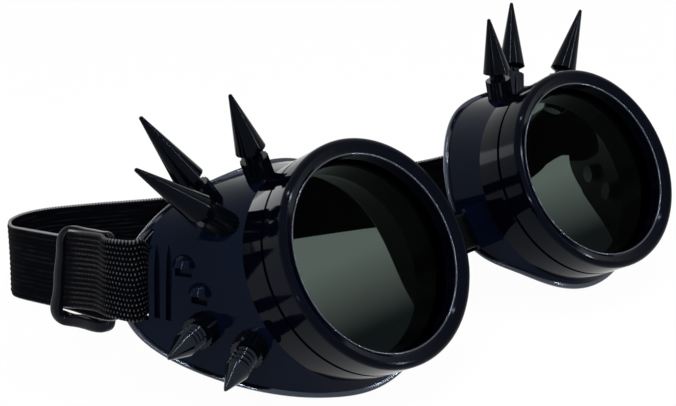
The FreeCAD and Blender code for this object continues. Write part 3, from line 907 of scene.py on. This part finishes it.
    def stitching(self) -> Piece:
        """Sewing of the left end: rows of small thread rounds on the outer faces of the doubled band.

        Each round is a stretched ball: at angles a and b its height is half the stitch times the cosine
        of a, and its two other axes are the thread's radius times the sine of a, turned by b.

        Returns:
            The rows as one piece, riding on the left cup.
        """
        x = self.path[:, 0]
        outer = np.argmax(x)
        near = [np.argmin(np.abs(x[:outer] - place)) for place in self.stitch_places]
        far = [outer + np.argmin(np.abs(x[outer:] - place)) for place in self.stitch_places]
        rows = np.array(near + far)
        share = np.linspace(-1, 1, self.stitch_count) * (1 - 2 * self.thickness / self.width)
        upright = self.path[rows, 3:]
        seat = self.path[rows, :3] - self.level[rows] * (self.thickness / 2)
        seats = seat[:, None, :] + share[None, :, None] * upright[:, None, :] * self.width / 2
        lap = np.linspace(0, np.pi, self.stitch_points)[:, None]
        spin = np.linspace(0, 2 * np.pi, self.stitch_points, endpoint=False)[None, :]
        along = unit(np.cross(self.level[rows], upright))
        axes = (np.cos(lap) * np.ones_like(spin) * self.stitch_half,
                np.sin(lap) * np.cos(spin) * self.stitch_radius,
                np.sin(lap) * np.sin(spin) * self.stitch_radius)
        points = seats[:, :, None, None, :] + sum(
            axis[None, None, :, :, None] * way[:, None, None, None, :]
            for axis, way in zip(axes, (upright, along, self.level[rows])))
        one = grid_faces(self.stitch_points, self.stitch_points, False, True)
        starts = np.arange(seats.shape[0] * seats.shape[1]) * self.stitch_points ** 2
        faces = (starts[:, None, None] + one[None, :, :]).reshape(-1, 4)
        piece = new_piece("strap_stitching", points * MM, faces, weld=True)
        piece.data.materials.append(self.finishes["stitch"])
        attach(piece, "left_cup")
        return piece

    def build(self) -> List[Piece]:
        """Makes the tail, the band and the sewing."""
        return [self.tail(), self.band(), self.stitching()]


@dataclass
class Slider:
    """Adjuster of the strap: one rounded loop with a bar outside the band, and a middle bar inside it.

    A row of loop is a place along the rails, upright and outward, and the half sizes across and outward.
    """

    finishes: Dict[str, Material]
    centre: Triple = (-84.178, 15.587, 22.335)
    rails: Triple = (-0.07591, 0.99225, -0.09834)
    upright: Triple = (0.16464, 0.10974, 0.98023)
    outward: Triple = (-0.98343, -0.05822, 0.17170)
    steps: int = 220
    section: int = 24
    power: float = 0.62
    bar_half: float = 12.2
    bar_place: Range = (0.0, -2.25)
    bar_size: Range = (1.5, 0.95)
    bar_steps: int = 12
    loop: Tuple[Tuple[float, ...], ...] = (
        (9.10, -11.6, 2.6, 1.70, 1.50), (8.40, -6.0, 2.9, 1.65, 1.45), (7.55, 0.0, 3.0, 1.60, 1.40),
        (6.70, 6.0, 2.9, 1.50, 1.30), (6.05, 10.6, 2.5, 1.30, 1.20), (5.00, 12.0, 1.3, 0.95, 1.20),
        (2.60, 12.1, -0.2, 0.65, 1.20), (-1.00, 12.0, -1.4, 0.55, 1.20), (-5.00, 12.0, -1.9, 0.60, 1.10),
        (-7.20, 11.6, -2.2, 0.90, 1.00), (-7.60, 9.5, -2.3, 1.40, 0.95), (-7.60, 0.0, -2.3, 1.50, 0.95),
        (-7.60, -9.5, -2.3, 1.40, 0.95), (-7.20, -12.0, -1.6, 1.45, 1.60), (-4.00, -12.8, -1.1, 1.70, 2.10),
        (0.00, -12.9, -1.0, 1.70, 2.20), (4.00, -13.0, -0.6, 1.65, 2.20), (7.60, -13.0, 0.7, 1.55, 2.00),
    )

    def swept(self, line: np.ndarray, tangent: np.ndarray, sizes: np.ndarray) -> np.ndarray:
        """Squared section carried along a line: one axis outward, square to the line, the other across it.

        Args:
            line: Places along the line in the slider's own frame, shape (n, 3).
            tangent: Directions of the line, shape (n, 3).
            sizes: Half sizes across and outward, shape (n, 2).

        Returns:
            Array of shape (n, section, 3), in metres, in the assembly.
        """
        way = unit(tangent)
        out = unit(np.array([0.0, 0.0, 1.0]) - way[:, 2:] * way)
        across = np.cross(way, out)
        first, second = squared(np.linspace(0, 2 * np.pi, self.section, endpoint=False), self.power)
        points = line[:, None, :] + (sizes[:, :1] * first)[..., None] * across[:, None, :]
        points = points + (sizes[:, 1:] * second)[..., None] * out[:, None, :]
        frame_rows = np.array([self.rails, self.upright, self.outward])
        return (points @ frame_rows + np.array(self.centre)) * MM

    def build(self) -> List[Piece]:
        """Makes the loop along a closed cubic curve, and the middle bar, as one piece.

        Returns:
            The frame, riding on the slider.
        """
        rows = np.array(self.loop)
        gaps = np.linalg.norm(np.roll(rows, -1, axis=0)[:, :3] - rows[:, :3], axis=1)
        knots = np.concatenate([[0.0], np.cumsum(gaps)[:-1]]) / gaps.sum()
        curve = closed_spline(knots, rows, np.arange(self.steps) / self.steps)
        tangent = np.roll(curve, -1, axis=0)[:, :3] - np.roll(curve, 1, axis=0)[:, :3]
        loop = self.swept(curve[:, :3], tangent, curve[:, 3:])
        height = np.linspace(-self.bar_half, self.bar_half, self.bar_steps)
        along, stand = (np.full_like(height, place) for place in self.bar_place)
        line = np.stack([along, height, stand], axis=1)
        upward = np.tile([0.0, 1.0, 0.0], (self.bar_steps, 1))
        bar = self.swept(line, upward, np.tile(self.bar_size, (self.bar_steps, 1)))
        start = self.steps * self.section
        quads = np.vstack([grid_faces(self.steps, self.section, True, True),
                           start + grid_faces(self.bar_steps, self.section, False, True)])
        faces, caps = flipped(quads, end_caps(self.bar_steps, self.section, start))
        piece = new_piece("slider_frame", np.vstack([loop, bar]), faces, caps=caps)
        piece.data.materials.append(self.finishes["slider"])
        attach(piece, "slider")
        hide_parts("strap_slider")
        return [piece]


# Studio


@dataclass
class Studio:
    """White floor and surround, soft lamps and the camera of the photograph."""

    eye: Triple = (-0.24877, -0.27064, 0.16322)
    right: Triple = (0.7404, -0.6716, -0.0277)
    up: Triple = (0.2570, 0.2448, 0.9349)
    lens: float = 71.05
    sensor: float = 36.0
    clip_start: float = 0.01
    floor_half: float = 4.0
    floor_grey: float = 0.88
    floor_rough: float = 0.9
    floor_glow: float = 0.97
    fill: float = 0.52
    lamps: Tuple[Tuple[str, Triple, Triple, Range, float], ...] = (
        ("left_strip", (-0.46, -0.26, 0.36), (-0.05, -0.03, 0.04), (0.007, 0.68), 1.7),
        ("right_strip", (0.34, -0.52, 0.36), (0.0, -0.03, 0.04), (0.007, 0.68), 2.0),
        ("back_strip", (-0.08, 0.72, 0.13), (0.0, 0.0, 0.03), (0.50, 0.06), 0.25),
        ("top_strip", (-0.05, -0.12, 0.80), (0.0, 0.0, 0.03), (0.6, 0.012), 1.8),
    )

    def seen(self, tree: bpy.types.NodeTree) -> Socket:
        """One for rays that a viewer sees straight, in gloss or through glass, and zero for the rest.

        Args:
            tree: Nodes of the material or world that asks.

        Returns:
            Socket of the value.
        """
        rays = tree.nodes.new("ShaderNodeLightPath")
        total = rays.outputs["Is Camera Ray"]
        for name in ("Is Glossy Ray", "Is Transmission Ray"):
            most = tree.nodes.new("ShaderNodeMath")
            most.operation = "MAXIMUM"
            tree.links.new(total, most.inputs[0])
            tree.links.new(rays.outputs[name], most.inputs[1])
            total = most.outputs[0]
        return total

    def floor(self) -> None:
        """Wide flat floor, white where it is seen, that keeps a share of the shadow."""
        half = self.floor_half
        points = np.array([(-half, -half, 0), (half, -half, 0), (half, half, 0), (-half, half, 0)])
        piece = new_piece("floor", points, np.array([[0, 1, 2, 3]]))
        made = Shader("floor_white")
        tree = made.tree
        glow = made.node("ShaderNodeEmission", Strength=1.0)
        both = made.node("ShaderNodeMixShader")
        grey = (self.floor_grey, self.floor_grey, self.floor_grey, 1.0)
        made.put(Base_Color=grey, Roughness=self.floor_rough, Specular_IOR_Level=0.0)
        share = made.maths("MULTIPLY", self.seen(tree), self.floor_glow)
        made.link(share, both.inputs["Fac"])
        made.link(made.surface.outputs["BSDF"], both.inputs[1])
        made.link(glow.outputs["Emission"], both.inputs[2])
        made.link(both.outputs["Shader"], tree.nodes["Material Output"].inputs["Surface"])
        piece.data.materials.append(made.material)

    def surround(self) -> None:
        """World that is white where it is seen and a soft fill for the rest."""
        world = bpy.data.worlds.new("surround")
        bpy.context.scene.world = world
        world.use_nodes = True
        tree = world.node_tree
        back = tree.nodes["Background"]
        back.inputs["Color"].default_value = (1.0, 1.0, 1.0, 1.0)
        strength = tree.nodes.new("ShaderNodeMapRange")
        strength.inputs["To Min"].default_value = self.fill
        tree.links.new(self.seen(tree), strength.inputs["Value"])
        tree.links.new(strength.outputs["Result"], back.inputs["Strength"])

    def lights(self) -> None:
        """Soft rectangular lamps, each turned to a point of the object."""
        for name, place, aim, size, power in self.lamps:
            lamp = bpy.data.lights.new(name, "AREA")
            lamp.shape = "RECTANGLE"
            lamp.size, lamp.size_y = size
            lamp.energy = power
            holder = bpy.data.objects.new(name, lamp)
            bpy.context.scene.collection.objects.link(holder)
            holder.visible_camera = False
            turn = (Vector(aim) - Vector(place)).to_track_quat("-Z", "Y")
            holder.matrix_world = Matrix.Translation(Vector(place)) @ turn.to_matrix().to_4x4()

    def camera(self) -> None:
        """Camera at the photograph's place and angle."""
        data = bpy.data.cameras.new("photo_camera")
        data.sensor_width = self.sensor
        data.lens = self.lens
        data.clip_start = self.clip_start
        holder = bpy.data.objects.new("photo_camera", data)
        bpy.context.scene.collection.objects.link(holder)
        right = Vector(self.right).normalized()
        back = right.cross(Vector(self.up)).normalized()
        up = back.cross(right)
        turn = Matrix((right, up, back)).transposed().to_4x4()
        holder.matrix_world = Matrix.Translation(Vector(self.eye)) @ turn
        bpy.context.scene.camera = holder

    def build(self) -> None:
        """Sets up the whole studio."""
        self.floor()
        self.surround()
        self.lights()
        self.camera()
        bpy.context.scene.view_settings.view_transform = "Standard"


def make_finishes() -> Dict[str, Material]:
    """Makes the material of every finish.

    Returns:
        The materials by the finishes' short names.
    """
    cup = Moulded("cup_plastic", (0.0009, 0.0021, 0.0078), (0.0015, 0.0031, 0.0108),
                  roughness=(0.05, 0.11), specular=0.08)
    ring = Moulded("ring_plastic", (0.0003, 0.0004, 0.0022), (0.0006, 0.0008, 0.0034),
                   roughness=(0.05, 0.11), specular=0.06)
    # The lip's paler colour and gloss are a painted highlight on the ring's inner edge.
    lip = Moulded("lip_painted_highlight", (0.010, 0.011, 0.015), (0.016, 0.017, 0.022),
                  roughness=(0.05, 0.08), specular=0.8)
    trim = Moulded("trim_rubber", (0.003, 0.003, 0.005), (0.005, 0.005, 0.008),
                   roughness=(0.08, 0.16), specular=0.8)
    gasket = Moulded("gasket_rubber", (0.002, 0.002, 0.003), (0.004, 0.004, 0.005),
                     roughness=(0.6, 0.75), specular=0.05)
    spike = Moulded("spike_metal", (0.0006, 0.0008, 0.0019), (0.0012, 0.0015, 0.0031),
                    roughness=(0.05, 0.11), specular=0.065)
    collar = Moulded("collar_metal", (0.0010, 0.0013, 0.0026), (0.0020, 0.0024, 0.0042),
                     roughness=(0.09, 0.16), specular=0.20)
    stud = Moulded("stud_metal", (0.0012, 0.0015, 0.0028), (0.0024, 0.0028, 0.0046),
                   roughness=(0.07, 0.14), specular=0.24)
    screw = Moulded("screw_steel", (0.30, 0.30, 0.31), (0.42, 0.42, 0.43),
                    roughness=(0.3, 0.45), metallic=1.0)
    bridge = Moulded("bridge_rubber", (0.003, 0.003, 0.004), (0.006, 0.006, 0.007),
                     roughness=(0.4, 0.55), specular=0.08)
    slider = Moulded("slider_plastic", (0.002, 0.002, 0.003), (0.004, 0.004, 0.0055),
                     roughness=(0.14, 0.24), specular=0.10)
    stitch = Moulded("stitch_thread", (0.010, 0.010, 0.011), (0.022, 0.022, 0.023),
                     roughness=(0.6, 0.8), specular=0.1, cloud_scale=900.0)
    # The lens's lower colour is a painted shade.
    lens = Tinted("lens_tint", upper=(0.087, 0.112, 0.098), lower=(0.0022, 0.0036, 0.0046),
                  low=20.0 * MM, high=36.2 * MM)
    width = HeadStrap.width * MM
    # The strap's rib and edge colours are painted highlights.
    strap = Woven("strap_elastic", colour=(0.0009, 0.0011, 0.0020), rib_highlight=(0.0062, 0.0067, 0.0104),
                  thread=(0.125, 0.124, 0.130), edge=(0.42, 0.42, 0.42), half_width=width / 2,
                  rib_pitch=width / HeadStrap.thread_rows, thread_pitch=0.85 * MM,
                  show_from=8 * MM, show_to=44 * MM, fade=5 * MM)
    every = {"cup": cup, "ring": ring, "lip": lip, "trim": trim, "gasket": gasket, "spike": spike,
             "collar": collar, "stud": stud, "screw": screw, "bridge": bridge, "slider": slider,
             "stitch": stitch, "lens": lens, "strap": strap}
    return {key: finish.material() for key, finish in every.items()}


def main() -> None:
    """Builds the sub-assemblies in order, then the studio."""
    logging.basicConfig(level=logging.INFO)
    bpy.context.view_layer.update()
    finishes = make_finishes()
    pieces: List[Piece] = []
    for side in Side:
        pieces += EyeCup(side, finishes).build()
    pieces += NoseLink(finishes).build()
    pieces += HeadStrap(finishes).build()
    pieces += Slider(finishes).build()
    for piece in pieces:
        LOG.info("%s: %d faces", piece.name, len(piece.data.polygons))
    Studio().build()
    bpy.context.view_layer.update()


if __name__ == "__main__":
    main()
